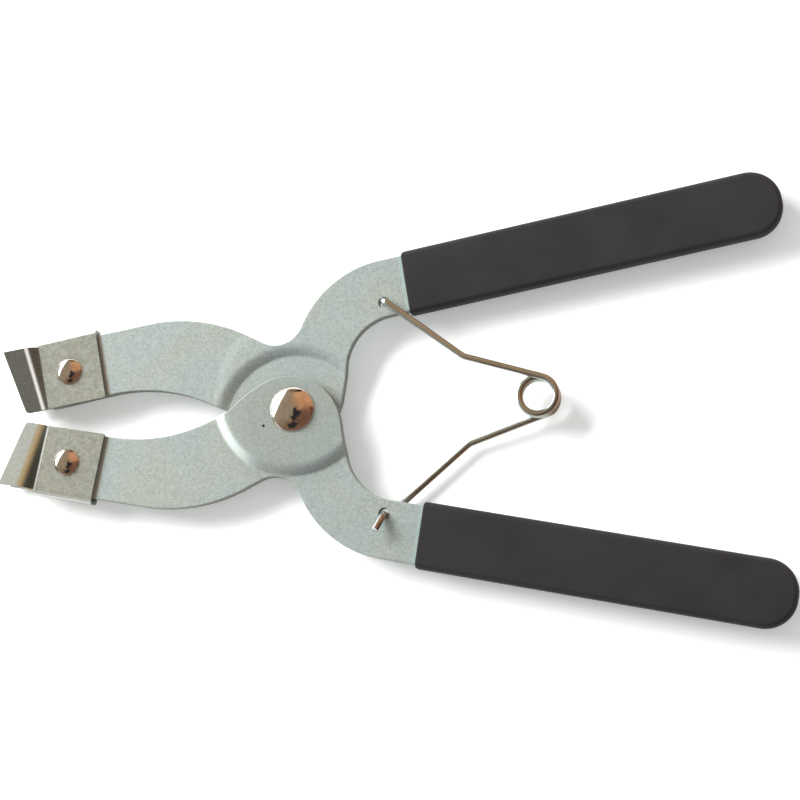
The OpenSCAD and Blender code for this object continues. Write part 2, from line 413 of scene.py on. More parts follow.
def clip_sheet(name, side):
    """One folded sheet: a grid of rows along the clip, each a profile round the fold."""
    cover_length = (CLIP_RIGHT[1] - CLIP_RIGHT[0]).length - SHEET_T / 2 - FOLD_R
    whole = (CLIP_RIGHT[1] - CLIP_RIGHT[0]).length
    rows_across = near_ends(cover_length, 0.6, 14)
    fold = [(FOLD_R * sin(pi / 2 * k / 6), SHEET_MID - FOLD_R * (1 - cos(pi / 2 * k / 6)))
            for k in range(1, 7)]
    web = [(FOLD_R, (SHEET_MID - FOLD_R) * (1 - 2 * k / 6)) for k in range(1, 6)]
    short = {1: 0.0, -1: 0.0}
    short[-side] = REAR_SHORT
    profile = [(short[1] + place * (1 - short[1] / cover_length), SHEET_MID)
               for place in rows_across]
    profile += [(cover_length + out, z) for out, z in fold + web]
    profile += [(cover_length + out, -z) for out, z in reversed(fold)]
    profile += [(short[-1] + place * (1 - short[-1] / cover_length), -SHEET_MID)
                for place in reversed(rows_across)]
    covers = len(rows_across)
    plate_steps = near_ends(1.0, 0.04, 8)
    lip_steps = [k / 26 for k in range(1, 24)] + [0.9 + 0.1 * sin(pi / 2 * k / 5) for k in range(6)]
    verts, faces = [], []
    grid = {}
    for i, s in enumerate(plate_steps):
        for j, (place, z) in enumerate(profile):
            share = place / whole
            right = CLIP_RIGHT[0].lerp(CLIP_RIGHT[1], share)
            left = CLIP_LEFT[0].lerp(CLIP_LEFT[1], share)
            point = right.lerp(left, s)
            cut = corner_cut(place, OPEN_END, COVER_CORNER_R)
            cut *= max(0.0, 1 - s / COVER_CORNER_SHARE)
            point += (left - right).normalized() * cut
            grid[i, j] = len(verts)
            verts.append((point.x, point.y, z))
    plates = len(plate_steps)
    for n, s in enumerate(lip_steps):
        i = plates + n
        for j, (place, z) in enumerate(profile):
            if covers <= j < len(profile) - covers:
                continue
            share = place / whole
            across = place / cover_length
            root = CLIP_LEFT[0].lerp(CLIP_LEFT[1], share)
            tip = LIP_TIP[0].lerp(LIP_TIP[1], across)
            behind = place - short[1 if z > 0 else -1]
            cut = max(corner_cut(behind, OPEN_END, FREE_LIP_CORNER_R),
                      corner_cut(cover_length - place, OPEN_END, FOLD_LIP_CORNER_R))
            point = root.lerp(tip, s * (1 - cut / (tip - root).length))
            reach = (point - root).length
            length = RAMP_LENGTH[0] + (RAMP_LENGTH[1] - RAMP_LENGTH[0]) * across
            flare = FLARE[0] + (FLARE[1] - FLARE[0]) * across
            lift = flare * eased(reach / length)
            grid[i, j] = len(verts)
            verts.append((point.x, point.y, z + lift if z > 0 else z - lift))
    for i in range(plates + len(lip_steps) - 1):
        for j in range(len(profile) - 1):
            cell = [(i, j), (i + 1, j), (i + 1, j + 1), (i, j + 1)]
            if all(key in grid for key in cell):
                faces.append([grid[key] for key in cell])
    piece = new_piece(name, verts, faces, side)
    thick = piece.modifiers.new("sheet thickness", "SOLIDIFY")
    thick.thickness = SHEET_T * MM
    thick.offset = 0.0
    thick.material_offset_rim = 1
    broken = piece.modifiers.new("sheared edge", "BEVEL")
    broken.width = 0.12 * MM
    broken.segments = 2
    broken.limit_method = "ANGLE"
    broken.angle_limit = radians(50)
    return piece


clips = {}
for word, side in SIDES.items():
    clip = clip_sheet(f"{word}_folded_clip", side)
    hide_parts(f"{word}_clip")
    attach(clip, f"{word}_arm")
    clips[side] = clip

# %% [markdown]
# The rivets are turned and then peened: a polished dome in front, a flat head behind, and a
# shank between them. A lathe profile spun round the rivet's axis gives all three at once, with a
# tight roll where the dome meets the plate. All domes stay on the front of the tool.

# %% The three rivets


def arc(radius, height, count):
    """Profile of a dome from its apex to its rim, as (radius, height) pairs."""
    ball = (radius**2 + height**2) / (2 * height)
    widest = asin(radius / ball)
    return [(ball * sin(widest * k / count), height - ball * (1 - cos(widest * k / count)))
            for k in range(count + 1)]


def turned(name, centre, profile, count=96):
    """A closed solid of revolution round a vertical axis."""
    verts, faces = [], []
    rows = []
    for radius, z in profile:
        if radius < 1e-6:
            rows.append([len(verts)] * count)
            verts.append((centre[0], centre[1], z))
        else:
            rows.append(list(range(len(verts), len(verts) + count)))
            verts += [(centre[0] + radius * cos(2 * pi * k / count),
                       centre[1] + radius * sin(2 * pi * k / count), z) for k in range(count)]
    for a, b in zip(rows, rows[1:]):
        for k in range(count):
            face = [a[k], b[k], b[(k + 1) % count], a[(k + 1) % count]]
            faces.append(list(dict.fromkeys(face)))
    return new_piece(name, verts, faces, UPPER)


def rivet(name, centre, seat, dome_r, dome_h, shank_r, rear_r, rear_t):
    """Dome, shank and rear head; the seats lie at the same distance in front and behind."""
    roll = 0.18  # height of the roll under the dome's rim
    profile = [(r, seat + roll + z * (dome_h - roll) / dome_h)
               for r, z in arc(dome_r, dome_h, 28)]
    profile += [(dome_r, seat + roll * 0.5), (dome_r - 0.03, seat), (shank_r, seat),
                (shank_r, -seat), (rear_r - 0.05, -seat)]
    chamfer = 0.35
    corner = [(rear_r - chamfer * (1 - cos(pi / 2 * k / 5)),
               -seat - rear_t + chamfer * (1 - sin(pi / 2 * k / 5))) for k in range(6)]
    profile += corner + [(rear_r - chamfer - 0.2, -seat - rear_t), (0.0, -seat - rear_t)]
    return turned(name, centre, profile)


pivot = rivet("pivot_rivet_domed", (0, 0), PLATE_T + DISC_PLAY,
              dome_r=6.2, dome_h=2.9, shank_r=3.2, rear_r=5.2, rear_t=1.5)
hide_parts("pivot_rivet")
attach(pivot, "lower_arm")
rivets = [pivot]
clip_seat = PLATE_T / 2 + 0.05 + SHEET_T
for word, side in SIDES.items():
    place = (CLIP_RIVET[0], side * CLIP_RIVET[1])
    small = rivet(f"{word}_clip_rivet_domed", place, clip_seat,
                  dome_r=3.75, dome_h=1.9, shank_r=1.95, rear_r=3.1, rear_t=0.8)
    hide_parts(f"{word}_clip_rivet")
    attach(small, f"{word}_arm")
    rivets.append(small)

# %% [markdown]
# The spring is one wire, 1.8 mm thick: hook, front leg, two turns and a bit of coil, rear leg and
# hook. It is swept as one tube along the middle of the wire. The two halves of the CAD spring
# turn on each other about the coil; the tube runs from one half to the other across the coil and
# stays where it is drawn. The hooks are bent tightly, and the legs bend softly toward the coil.

# %% The spring
WIRE_R = 0.9
COIL_CENTRE = Vector((66.7, 1.9))
COIL_R = 5.0
COIL_Z = PLATE_T / 2 + 0.1 + WIRE_R
LEG_Z = SLEEVE_HALF + 0.2 + WIRE_R
HOOK_AT = Vector((25.2, 29.15))
FRONT_BEND = Vector((47.1, 12.7))
REAR_BEND = Vector((47.4, -10.1))
BEND_R = 1.9
SOFT_BEND_R = 5.0
HOOK_END = 4.7
HOOK_TURN = 247
HOOK_RISE = 30
REAR_KINK = 20
KINK_OUT = 0.22
CUT_END = [(0.0, 0.12), (0.04, 0.03), (0.12, 0.0)]  # (along the wire, narrower by) at a cut end


def coil_angle(bend, side):
    """Angle round the coil where a leg meets it, in degrees."""
    way = COIL_CENTRE - bend
    return degrees(atan2(way.y, way.x)) + side * (90 + degrees(asin(COIL_R / way.length)))


front_angle = coil_angle(FRONT_BEND, 1)
rear_angle = coil_angle(REAR_BEND, -1) + REAR_KINK
coil_sweep = 720 + front_angle - rear_angle


def coil_point(share):
    """Middle of the wire, a share of the way from the front leg to the rear leg."""
    angle = radians(front_angle - coil_sweep * share)
    radius = COIL_R + KINK_OUT * eased((share - 0.9) / 0.1)
    return Vector((COIL_CENTRE.x + radius * cos(angle), COIL_CENTRE.y + radius * sin(angle),
                   COIL_Z * (1 - 2 * share)))


def leg(side, bend, end):
    """Hook and leg on one side of the tool, from the loose end to the coil."""
    turn = radians(-side * HOOK_TURN)
    through = Vector((HOOK_AT.x, side * HOOK_AT.y, 0))
    loose = through + Vector((HOOK_END * cos(turn), HOOK_END * sin(turn),
                              -side * (COIL_Z + HOOK_END * tan(radians(HOOK_RISE)))))
    corners = [loose, through + Vector((0, 0, -side * COIL_Z)),
               through + Vector((0, 0, side * LEG_Z)),
               Vector((bend.x, bend.y, side * LEG_Z)), end]
    path = [corners[0]]
    for before, at, after in zip(corners, corners[1:], corners[2:]):
        sharp = (at - before).angle(after - at) > radians(45)
        path += corner_arc(before, at, after, BEND_R if sharp else SOFT_BEND_R, 14)
    return path


coil_steps = ceil(coil_sweep / 5)
coil = [coil_point(k / coil_steps) for k in range(coil_steps + 1)]
wire_line = leg(UPPER, FRONT_BEND, coil[0]) + coil + leg(LOWER, REAR_BEND, coil[-1])[::-1]


def swept_wire(name, line, radius, count=20):
    """A round wire along a line, with flat, slightly rounded cut ends."""
    tangents = [(line[min(i + 1, len(line) - 1)] - line[max(i - 1, 0)]).normalized()
                for i in range(len(line))]
    out = tangents[0].orthogonal().normalized()
    verts, faces = [], []
    rings = []

    for i, (point, tangent) in enumerate(zip(line, tangents)):
        out = (out - tangent * out.dot(tangent)).normalized()
        over = tangent.cross(out)
        if i == 0:
            places = CUT_END
        elif i == len(line) - 1:
            places = [(-along, narrower) for along, narrower in reversed(CUT_END)]
        else:
            places = [(0.0, 0.0)]
        for along, narrower in places:
            rings.append(len(verts))
            for k in range(count):
                way = out * cos(2 * pi * k / count) + over * sin(2 * pi * k / count)
                verts.append(point + tangent * along + way * (radius - narrower))
    for a, b in zip(rings, rings[1:]):
        faces += [(a + k, b + k, b + (k + 1) % count, a + (k + 1) % count) for k in range(count)]
    for end, tangent, centre in ((rings[0], -1, line[0]), (rings[-1], 1, line[-1])):
        hub = len(verts)
        verts.append(Vector(centre))
        faces += [(end + k, end + (k + 1) % count, hub) for k in range(count)]
    return new_piece(name, verts, faces, UPPER)


spring = swept_wire("torsion_spring_wire", wire_line, WIRE_R)
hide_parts("spring_front_half", "spring_rear_half")
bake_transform(spring)

# %% [markdown]
# Several finishes share the same effects: the mottled grain of zinc, a mask of upright walls that
# the finishes darken with painted shade, fine scratches, and marks at a known place. Each effect is
# one node group, built once, that puts out a mask, a colour or a height. The materials place them
# with their own values.

# %% Shared effects as node groups


class Nodes:
    """Short calls to add nodes to one tree and link them."""

    def __init__(self, tree):
        self.tree = tree

    def add(self, kind, values=None, links=None, **settings):
        node = self.tree.nodes.new(kind)
        for key, value in settings.items():
            setattr(node, key, value)
        for key, value in (values or {}).items():
            node.inputs[key].default_value = value
        for key, socket in (links or {}).items():
            self.tree.links.new(socket, node.inputs[key])
        return node

    def math(self, operation, a, b=0.0):
        node = self.tree.nodes.new("ShaderNodeMath")
        node.operation = operation
        for slot, value in enumerate((a, b)):
            if isinstance(value, (int, float)):
                node.inputs[slot].default_value = value
            else:
                self.tree.links.new(value, node.inputs[slot])
        return node.outputs[0]

    def fade(self, value, low, high):
        """0 at the low value and 1 at the high one, with a soft change."""
        node = self.add("ShaderNodeMapRange", {"From Min": low, "From Max": high},
                        {"Value": value}, interpolation_type="SMOOTHSTEP")
        return node.outputs["Result"]

    def mix(self, share, a, b):
        node = self.tree.nodes.new("ShaderNodeMix")
        node.data_type = "RGBA"
        for slot, value in ((0, share), (6, a), (7, b)):
            if isinstance(value, (int, float, tuple)):
                node.inputs[slot].default_value = value
            else:
                self.tree.links.new(value, node.inputs[slot])
        return node.outputs[2]

    def tint(self, colour, mask, share, tone):
        """Lays a tone over a colour where the mask is 1, up to a share."""
        return self.mix(self.math("MULTIPLY", mask, share), colour, tone)

    def graded(self, mask, change, base):
        """A base value, changed by a mask."""
        return self.math("ADD", self.math("MULTIPLY", mask, change), base)


def new_group(name, inputs, outputs):
    """An empty node group with named sockets."""
    tree = bpy.data.node_groups.new(name, "ShaderNodeTree")
    for label, kind, default in inputs:
        socket = tree.interface.new_socket(label, in_out="INPUT", socket_type=f"NodeSocket{kind}")
        if default is not None:
            socket.default_value = default
    for label, kind in outputs:
        tree.interface.new_socket(label, in_out="OUTPUT", socket_type=f"NodeSocket{kind}")
    nodes = Nodes(tree)
    entry = tree.nodes.new("NodeGroupInput")
    leave = tree.nodes.new("NodeGroupOutput")
    return nodes, entry.outputs, leave.inputs


# Mottled grain: fine crystals, larger spangles and slow clouds, from 0 to 1 round one half
grain, given, result = new_group(
    "mottled_grain",
    [("Vector", "Vector", None), ("Crystal size mm", "Float", 0.4),
     ("Cloud size mm", "Float", 9.0)],
    [("Crystals", "Float"), ("Spangle", "Float"), ("Clouds", "Float")])
fine_scale = grain.math("DIVIDE", 1000.0, given["Crystal size mm"])
cloud_scale = grain.math("DIVIDE", 1000.0, given["Cloud size mm"])
crystals = grain.add("ShaderNodeTexNoise", {"Detail": 3.0, "Roughness": 0.6},
                     {"Vector": given["Vector"], "Scale": fine_scale})
spangle = grain.add("ShaderNodeTexVoronoi", {"Randomness": 1.0},
                    {"Vector": given["Vector"], "Scale": grain.math("MULTIPLY", fine_scale, 0.45)})
clouds = grain.add("ShaderNodeTexNoise", {"Detail": 2.0},
                   {"Vector": given["Vector"], "Scale": cloud_scale})
grain.tree.links.new(crystals.outputs[0], result["Crystals"])
grain.tree.links.new(grain.add("ShaderNodeSeparateColor", links={"Color": spangle.outputs["Color"]})
                     .outputs[0], result["Spangle"])
grain.tree.links.new(clouds.outputs[0], result["Clouds"])

# Sheared wall: 1 where the surface stands upright, as a cut edge does
wall, given, result = new_group("sheared_wall", [("Normal", "Vector", None)], [("Mask", "Float")])
upright = wall.add("ShaderNodeSeparateXYZ", links={"Vector": given["Normal"]}).outputs["Z"]
wall.tree.links.new(wall.fade(wall.math("ABSOLUTE", upright), 0.75, 0.3), result["Mask"])

# Fine scratches: thin stretched noise in one direction
scratch, given, result = new_group(
    "fine_scratches",
    [("Vector", "Vector", None), ("Angle", "Float", 0.0), ("Rarity", "Float", 0.68)],
    [("Mask", "Float")])
spin = scratch.add("ShaderNodeVectorRotate", links={"Vector": given["Vector"],
                                                    "Angle": given["Angle"]},
                   rotation_type="Z_AXIS")
stretched = scratch.add("ShaderNodeVectorMath", {1: (160.0, 5200.0, 160.0)},
                        {0: spin.outputs[0]}, operation="MULTIPLY")
lines = scratch.add("ShaderNodeTexNoise", {"Scale": 1.0, "Detail": 1.0},
                    {"Vector": stretched.outputs[0]})
broad = scratch.math("ADD", given["Rarity"], 0.05)
found = scratch.add("ShaderNodeMapRange", links={"Value": lines.outputs[0],
                                                 "From Min": given["Rarity"], "From Max": broad})
scratch.tree.links.new(found.outputs["Result"], result["Mask"])

# Past a straight line: 0 before it, 1 beyond it, with a soft change
beyond, given, result = new_group(
    "past_line",
    [("Vector", "Vector", None), ("Across", "Vector", (1.0, 0.0, 0.0)),
     ("Line mm", "Float", 0.0), ("Softness mm", "Float", 0.5)],
    [("Mask", "Float")])
reach = beyond.add("ShaderNodeVectorMath", links={0: given["Vector"], 1: given["Across"]},
                   operation="DOT_PRODUCT").outputs["Value"]
past = beyond.math("SUBTRACT", beyond.math("MULTIPLY", reach, 1000.0), given["Line mm"])
share = beyond.math("DIVIDE", past, given["Softness mm"])
beyond.tree.links.new(beyond.fade(share, -0.5, 0.5), result["Mask"])

# Round spot: 1 at a place, fading out over a radius
spot, given, result = new_group(
    "round_spot",
    [("Vector", "Vector", None), ("Place", "Vector", (0.0, 0.0, 0.0)),
     ("Radius mm", "Float", 1.0)],
    [("Mask", "Float")])
gap = spot.add("ShaderNodeVectorMath", links={0: given["Vector"], 1: given["Place"]},
               operation="DISTANCE").outputs["Value"]
share = spot.math("DIVIDE", spot.math("MULTIPLY", gap, 1000.0), given["Radius mm"])
spot.tree.links.new(spot.fade(share, 1.0, 0.5), result["Mask"])
print(len(bpy.data.node_groups), "shared effects")


def use(nodes, group, values=None, links=None):
    """Places a shared effect in a material."""
    node = nodes.tree.nodes.new("ShaderNodeGroup")
    node.node_tree = bpy.data.node_groups[group]
    for key, value in (values or {}).items():
        node.inputs[key].default_value = value
    for key, socket in (links or {}).items():
        nodes.tree.links.new(socket, node.inputs[key])
    return node.outputs


def new_material(name, **constants):
    """A material with one Principled shader; values that never change go on its own sockets."""
    material = bpy.data.materials.new(name)
    material.use_nodes = True
    nodes = Nodes(material.node_tree)
    shader = material.node_tree.nodes["Principled BSDF"]
    for label, value in constants.items():
        shader.inputs[label.replace("_", " ")].default_value = value
    place = nodes.tree.nodes.new("ShaderNodeTexCoord")
    return material, nodes, shader, place.outputs["Object"], place.outputs["Normal"]


def mottled(nodes, vector, crystal, cloud):
    """The mottled grain, with its sizes in millimetres."""
    return use(nodes, "mottled_grain", {"Crystal size mm": crystal, "Cloud size mm": cloud},
               {"Vector": vector})


def spot_at(nodes, vector, place, radius):
    """A round spot; the place is in metres and the radius in millimetres."""
    spot = use(nodes, "round_spot", {"Place": place, "Radius mm": radius}, {"Vector": vector})
    return spot["Mask"]


def past_line(nodes, vector, across, line, softness):
    """What lies beyond a straight line, measured in millimetres across it."""
    values = {"Across": across, "Line mm": line, "Softness mm": softness}
    return use(nodes, "past_line", values, {"Vector": vector})["Mask"]


def strip(nodes, vector, across, line, width, softness):
    """A band beside a straight line, from the line onward over a width."""
    near = past_line(nodes, vector, across, line, softness)
    far = past_line(nodes, vector, across, line + width, softness)
    return nodes.math("SUBTRACT", near, far)


def both_sides(nodes, vector):
    """The plan position on either lever, as it is on the upper lever."""
    split = nodes.add("ShaderNodeSeparateXYZ", links={"Vector": vector}).outputs
    folded = nodes.math("ABSOLUTE", split["Y"])
    return nodes.add("ShaderNodeCombineXYZ", links={"X": split["X"], "Y": folded}).outputs[0]


def connect(nodes, shader, colour, roughness, height, depth_mm, strength=1.0):
    """Links the parts of a finish that change over the surface."""
    bump = nodes.add("ShaderNodeBump", {"Distance": depth_mm * MM, "Strength": strength},
                     {"Height": height})
    nodes.tree.links.new(colour, shader.inputs["Base Color"])
    nodes.tree.links.new(roughness, shader.inputs["Roughness"])
    nodes.tree.links.new(bump.outputs[0], shader.inputs["Normal"])


# %% [markdown]
# The levers are zinc plated and passivated. The plate looks a pale, slightly green or blue grey,
# with a fine mottle that catches the light in tiny grains. Upright walls get painted shade, darker
# and warmer. A brown band of painted shade sits beside each clip, and a pale band beside each
# sleeve's mouth. The lower disc lies in front, so hands have darkened it, and its ramp gets a
# painted highlight on the left. One dark pit and a few hair scratches near the rivet are wear that
# such tools show.

# %% Zinc plate
LOWER_DISC = (0.0, 0.0043, 0.0068)  # where the lower disc's ramp is centred, in metres
RAMP_HIGHLIGHT_FROM = 20.1 * MM
RAMP_HIGHLIGHT_TO = 22.6 * MM
RAMP_HIGHLIGHT_LEFT = (-8.5 * MM, -16.5 * MM)
CLIP_EDGE = ((0.982, 0.187, 0), -51.5)
MOUTH_ACROSS = (0.988, 0.155, 0)
MOUTH_LINE = 37.73  # where a sleeve's mouth would cross the lever with no offset


def zinc_finish(name, dip_line, handling_and_highlight):
    """Zinc plate with a pale band at a mouth line; one share sets both the handled darkening of its
    disc and the painted highlight on its ramp.
    """
    material, nodes, shader, place, normal = new_material(name)
    one_side = both_sides(nodes, place)
    mottle = mottled(nodes, place, 0.3, 14.0)
    tone = nodes.math("ADD", nodes.math("MULTIPLY", mottle["Crystals"], 0.85),
                      nodes.math("MULTIPLY", mottle["Spangle"], 0.15))
    tone = nodes.fade(tone, 0.3, 0.7)
    cloud = nodes.fade(mottle["Clouds"], 0.4, 0.6)
    pale = nodes.mix(cloud, (0.55, 0.61, 0.58, 1), (0.53, 0.61, 0.61, 1))
    dim = nodes.mix(cloud, (0.39, 0.44, 0.41, 1), (0.38, 0.44, 0.435, 1))
    colour = nodes.mix(tone, dim, pale)
    handled = spot_at(nodes, place, (0.0, -0.003, 0.0045), 23.0)
    colour = nodes.tint(colour, handled, handling_and_highlight, (0.24, 0.26, 0.24, 1))
    reach = nodes.add("ShaderNodeVectorMath", {1: LOWER_DISC}, {0: place},
                      operation="DISTANCE").outputs["Value"]
    inner = nodes.fade(reach, RAMP_HIGHLIGHT_FROM - 0.7 * MM, RAMP_HIGHLIGHT_FROM + 0.7 * MM)
    outer = nodes.fade(reach, RAMP_HIGHLIGHT_TO + 0.6 * MM, RAMP_HIGHLIGHT_TO - 0.6 * MM)
    leftward = nodes.add("ShaderNodeSeparateXYZ", links={"Vector": place}).outputs["X"]
    ramp_highlight = nodes.math("MULTIPLY", nodes.math("MULTIPLY", inner, outer),
                           nodes.fade(leftward, *RAMP_HIGHLIGHT_LEFT))
    # Painted highlight: a pale cyan band on the left of the disc's ramp, where the window's light
    # falls.
    colour = nodes.tint(colour, ramp_highlight, handling_and_highlight * 3, (0.86, 1.0, 1.0, 1))
    walls = use(nodes, "sheared_wall", links={"Normal": normal})["Mask"]
    # Painted shade: a brown band on the lever beside each clip's edge.
    painted_clip_shade = strip(nodes, one_side, *CLIP_EDGE, 1.0, 0.7)
    colour = nodes.tint(colour, painted_clip_shade, 0.75, (0.34, 0.26, 0.18, 1))
    # A pale band across the lever beside each sleeve's mouth.
    mouth_band = strip(nodes, one_side, MOUTH_ACROSS, dip_line - 0.9, 2.0, 0.6)
    colour = nodes.tint(colour, mouth_band, 0.4, (0.50, 0.76, 0.74, 1))
    pit = spot_at(nodes, place, (-0.0079, -0.0044, 0.00765), 0.55)
    colour = nodes.mix(pit, colour, (0.03, 0.03, 0.028, 1))
    long_marks = use(nodes, "fine_scratches", {"Angle": 0.8, "Rarity": 0.75},
                     {"Vector": place})["Mask"]
    cross_marks = use(nodes, "fine_scratches", {"Angle": -0.5, "Rarity": 0.6},
                      {"Vector": place})["Mask"]
    struck = spot_at(nodes, place, (-0.0168, 0.0106, 0.0061), 2.4)
    marks = nodes.math("MAXIMUM", long_marks, nodes.math("MULTIPLY", cross_marks, struck))
    marks = nodes.math("MULTIPLY", marks, 0.4)
    colour = nodes.mix(marks, colour, (0.22, 0.23, 0.21, 1))
    # Painted shade on the upright walls, darker and warmer.
    colour = nodes.tint(colour, walls, 0.9, (0.21, 0.195, 0.165, 1))
    roughness = nodes.graded(mottle["Crystals"], 0.3, 0.17)
    roughness = nodes.math("ADD", roughness, nodes.math("MULTIPLY", walls, 0.2))
    metal = nodes.math("MULTIPLY", nodes.math("SUBTRACT", 1.0, walls), 0.45)
    nodes.tree.links.new(metal, shader.inputs["Metallic"])
    height = nodes.math("SUBTRACT", nodes.math("ADD", mottle["Crystals"], nodes.math(
        "MULTIPLY", mottle["Spangle"], 0.3)), nodes.math("ADD", marks, pit))
    connect(nodes, shader, colour, roughness, height, 0.03, 0.8)
    return material


for side, lever in levers.items():
    finish = "zinc_plate_upper" if side == UPPER else "zinc_plate_lower"
    handling_and_highlight = 0.05 if side == UPPER else 0.3
    lever.data.materials.append(zinc_finish(finish, MOUTH_LINE - side * MOUTH_OFFSET, handling_and_highlight))
print("zinc plate on", len(levers), "levers")

# %% [markdown]
# The clips are thinner sheet with a smoother, slightly warmer plating. Their bends carry painted
# light and shade: the upper lip is painted dark as shade, with a painted white highlight on its
# crest, and the lower lip is painted pale as lit, with a painted brown reflection on its crest and
# a painted highlight line at its root. Both ramps get painted shade, and both folds a painted
# highlight. The sheared edges of the sheet get a second, darker finish of painted shade, which the
# Solidify modifier puts on its rim.

# %% Clip sheet
ROOT_ACROSS = (-0.98, -0.199, 0)
ROOT_LINE = 68.22
CREST_ACROSS = (-0.958, -0.285, 0)
CREST_LINE = 67.79
FOLD_EDGE = ((-0.186, 0.983, 0), 33.8)


def clip_finish(name, crest_glint, crest_glint_share, crest_glint_width, lip_painted_shading, lip_shading_share, root_highlight_share, fold_highlight_share):
    """Clip sheet with painted light and shade on the crest, the lip, the root and the fold, in
    given shares.
    """
    material, nodes, shader, place, normal = new_material(name, Metallic=0.55)
    one_side = both_sides(nodes, place)
    mottle = mottled(nodes, place, 0.4, 6.0)
    tone = nodes.math("ADD", nodes.math("MULTIPLY", mottle["Crystals"], 0.8),
                      nodes.math("MULTIPLY", mottle["Spangle"], 0.2))
    colour = nodes.mix(nodes.fade(tone, 0.3, 0.75), (0.33, 0.34, 0.295, 1), (0.52, 0.55, 0.50, 1))
    warm = nodes.fade(mottle["Clouds"], 0.5, 0.75)
    colour = nodes.tint(colour, warm, 0.35, (0.42, 0.39, 0.31, 1))
    past_root = past_line(nodes, one_side, ROOT_ACROSS, ROOT_LINE, 0.5)
    past_crest = past_line(nodes, one_side, CREST_ACROSS, CREST_LINE + 0.5, 0.8)
    # Painted shade on both ramps, between the root and the crest.
    painted_ramp_shade = nodes.math("MULTIPLY", past_root, nodes.math("SUBTRACT", 1.0, past_crest))
    colour = nodes.tint(colour, painted_ramp_shade, 0.85, (0.07, 0.085, 0.07, 1))
    # Painted shading on the lip: dark as shade on the upper clip, pale as lit on the lower clip.
    colour = nodes.tint(colour, past_crest, lip_shading_share, lip_painted_shading)
    # Painted crest: a white highlight on the upper clip, a brown reflection on the lower clip.
    crest_glint_band = strip(nodes, one_side, CREST_ACROSS, CREST_LINE - 0.35, crest_glint_width,
                       0.5 * crest_glint_width + 0.3)
    colour = nodes.tint(colour, crest_glint_band, crest_glint_share, crest_glint)
    # Painted highlight line at the lip's root.
    root_highlight = strip(nodes, one_side, ROOT_ACROSS, ROOT_LINE - 0.35, 0.45, 0.2)
    colour = nodes.tint(colour, root_highlight, root_highlight_share, (0.85, 0.88, 0.88, 1))
    # Painted highlight along the fold.
    fold = strip(nodes, one_side, *FOLD_EDGE, 0.9, 0.25)
    fold = nodes.math("MULTIPLY", fold, nodes.math("SUBTRACT", 1.0, past_root))
    colour = nodes.tint(colour, fold, fold_highlight_share, (0.95, 1.0, 1.0, 1))
    roughness = nodes.graded(mottle["Crystals"], 0.25, 0.2)
    roughness = nodes.math("SUBTRACT", roughness, nodes.math("MULTIPLY", past_root, 0.08))
    height = nodes.math("ADD", mottle["Crystals"], nodes.math("MULTIPLY", mottle["Spangle"], 0.4))
    connect(nodes, shader, colour, roughness, height, 0.025, 0.6)
    return material


# Painted shade: the sheet's cut edges are painted darker.
sheet_edge_shade, nodes, shader, place, normal = new_material("sheet_edge_painted_shade", Metallic=0.2)
mottle = mottled(nodes, place, 0.2, 3.0)
colour = nodes.mix(nodes.fade(mottle["Crystals"], 0.35, 0.65), (0.16, 0.16, 0.14, 1),
                   (0.25, 0.25, 0.23, 1))
roughness = nodes.graded(mottle["Crystals"], 0.2, 0.4)
connect(nodes, shader, colour, roughness, mottle["Crystals"], 0.03, 0.6)
# Upper clip: lip painted in shade, crest painted white as a highlight. Lower clip: lip painted lit,
# brown crest reflection, root highlight.
finishes = {
    UPPER: clip_finish("clip_sheet_shaded_lip", crest_glint=(1.0, 1.0, 1.0, 1), crest_glint_share=1.0,
                       crest_glint_width=0.9, lip_painted_shading=(0.10, 0.10, 0.085, 1), lip_shading_share=0.85,
                       root_highlight_share=0.0, fold_highlight_share=1.0),
    LOWER: clip_finish("clip_sheet_lit_lip", crest_glint=(0.42, 0.29, 0.13, 1), crest_glint_share=0.75,
                       crest_glint_width=1.9, lip_painted_shading=(0.55, 0.60, 0.56, 1), lip_shading_share=0.5,
                       root_highlight_share=0.8, fold_highlight_share=0.5),
}
for side, clip in clips.items():
    clip.data.materials.append(finishes[side])
    clip.data.materials.append(sheet_edge_shade)

# %% [markdown]
# The domes are polished steel that mirrors the room, with the odd soft dent from peening. The
# bump is a slow, shallow noise, and roughness changes a little, as finger marks would make it.

# %% Bright rivets
bright, nodes, shader, place, normal = new_material("bright_rivet", Metallic=1.0)
mottle = mottled(nodes, place, 0.3, 2.4)
colour = nodes.mix(nodes.fade(mottle["Clouds"], 0.3, 0.7), (0.70, 0.65, 0.60, 1),
                   (0.82, 0.79, 0.75, 1))
roughness = nodes.graded(mottle["Crystals"], 0.08, 0.06)
height = nodes.math("ADD", mottle["Clouds"], nodes.math("MULTIPLY", mottle["Crystals"], 0.05))
connect(nodes, shader, colour, roughness, height, 0.03, 0.4)
for piece in rivets:
    piece.data.materials.append(bright)

# %% [markdown]
# Spring wire is drawn through a die, then tempered and oiled, which leaves satin metal. The side
# that faces left, toward the window, is painted pale blue as painted light, and the side that faces
# right is painted brown as a painted reflection of the brown room, so the direction that the
# surface faces picks the tint.

# %% Spring wire
wire_metal, nodes, shader, place, normal = new_material("spring_wire", Metallic=0.95)
mottle = mottled(nodes, place, 0.25, 5.0)
colour = nodes.mix(nodes.fade(mottle["Clouds"], 0.35, 0.65), (0.50, 0.50, 0.43, 1),
                   (0.58, 0.61, 0.55, 1))
facing_for_painted_light = nodes.add("ShaderNodeSeparateXYZ", links={"Vector": normal}).outputs["X"]
